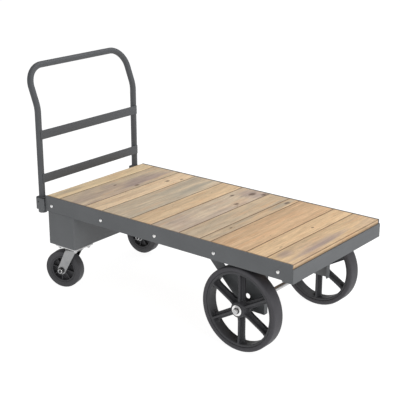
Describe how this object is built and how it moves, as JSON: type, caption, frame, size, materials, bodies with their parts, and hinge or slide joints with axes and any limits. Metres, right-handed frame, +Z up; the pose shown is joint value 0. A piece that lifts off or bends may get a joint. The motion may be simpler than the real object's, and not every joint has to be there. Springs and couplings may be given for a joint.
{
  "type": "platform cart",
  "caption": "Platform cart with a plank deck in a steel frame, two large spoked wheels, swivel casters under a riser box and a lift-out push handle.",
  "frame": {"origin": "on the ground, under the middle of the bounding box of the whole cart", "axes": "+X points from the push handle to the two big wheels, +Y to the left side, +Z up"},
  "size_m": [1.3012, 0.607, 0.9122],
  "materials": {
    "frame_paint": "satin grey enamel",
    "handle_paint": "satin grey enamel",
    "board_pale": "sawn and sanded, clear oiled",
    "board_grey": "sawn and sanded, clear oiled",
    "board_orange": "sawn and sanded, clear oiled",
    "wheel_rubber": "matte moulded rubber",
    "wheel_casting": "satin black paint on casting",
    "zinc_plate": "zinc plated"
  },
  "bodies": {
    "root": {"axle": "zinc_plate", "axle_hanger_left": "frame_paint", "axle_hanger_right": "frame_paint", "caster_left_plate": "zinc_plate", "caster_right_plate": "zinc_plate", "cotter_pin_left": "zinc_plate", "cotter_pin_right": "zinc_plate", "cross_member_1": "frame_paint", "cross_member_2": "frame_paint", "cross_member_3": "frame_paint", "cross_member_4": "frame_paint", "cross_member_5": "frame_paint", "deck_board_01": "board_pale", "deck_board_02": "board_grey", "deck_board_03": "board_pale", "deck_board_04": "board_grey", "deck_board_05": "board_orange", "deck_board_06": "board_grey", "deck_board_07": "board_pale", "deck_board_08": "board_grey", "deck_board_09": "board_orange", "deck_board_10": "board_pale", "deck_board_11": "board_pale", "end_rail_front": "frame_paint", "end_rail_rear": "frame_paint", "riser_box": "frame_paint", "side_bolt_left_1": "zinc_plate", "side_bolt_left_2": "zinc_plate", "side_bolt_left_3": "zinc_plate", "side_bolt_left_4": "zinc_plate", "side_bolt_left_5": "zinc_plate", "side_bolt_right_1": "zinc_plate", "side_bolt_right_2": "zinc_plate", "side_bolt_right_3": "zinc_plate", "side_bolt_right_4": "zinc_plate", "side_bolt_right_5": "zinc_plate", "side_rail_left": "frame_paint", "side_rail_right": "frame_paint", "socket_sleeve_left": "frame_paint", "socket_sleeve_right": "frame_paint", "socket_strap_left": "frame_paint", "socket_strap_right": "frame_paint", "wheel_left_washer": "zinc_plate", "wheel_right_washer": "zinc_plate"},
    "handle": {"handle_frame": "handle_paint", "crossbar_lower": "handle_paint", "crossbar_upper": "handle_paint"},
    "wheel_left": {"wheel_left_tyre": "wheel_rubber", "wheel_left_casting": "wheel_casting"},
    "caster_left": {"caster_left_fork": "zinc_plate", "caster_left_axle": "zinc_plate"},
    "caster_wheel_left": {"caster_left_tread": "wheel_rubber", "caster_left_core": "wheel_casting"},
    "wheel_right": {"wheel_right_tyre": "wheel_rubber", "wheel_right_casting": "wheel_casting"},
    "caster_right": {"caster_right_fork": "zinc_plate", "caster_right_axle": "zinc_plate"},
    "caster_wheel_right": {"caster_right_tread": "wheel_rubber", "caster_right_core": "wheel_casting"}
  },
  "joints": [
    {"name": "wheel_left_spin", "type": "hinge", "parent": "root", "child": "wheel_left", "pos_m": [0.4157, 0.25885, 0.1595], "axis": [0, 1, 0], "continuous": true},
    {"name": "caster_left_swivel", "type": "hinge", "parent": "root", "child": "caster_left", "pos_m": [-0.4468, 0.2385, 0.174], "axis": [0, 0, 1], "continuous": true},
    {"name": "caster_left_spin", "type": "hinge", "parent": "caster_left", "child": "caster_wheel_left", "pos_m": [-0.49362, 0.2344, 0.0783], "axis": [-0.0872, 0.9962, 0], "continuous": true},
    {"name": "wheel_right_spin", "type": "hinge", "parent": "root", "child": "wheel_right", "pos_m": [0.4157, -0.25885, 0.1595], "axis": [0, 1, 0], "continuous": true},
    {"name": "caster_right_swivel", "type": "hinge", "parent": "root", "child": "caster_right", "pos_m": [-0.4468, -0.2385, 0.174], "axis": [0, 0, 1], "continuous": true},
    {"name": "caster_right_spin", "type": "hinge", "parent": "caster_right", "child": "caster_wheel_right", "pos_m": [-0.49184, -0.25193, 0.0783], "axis": [-0.2857, 0.9583, 0], "continuous": true},
    {"name": "handle_lift", "type": "slide", "parent": "root", "child": "handle", "axis": [0, 0, 1], "range_m": [0, 0.1]}
  ]
}
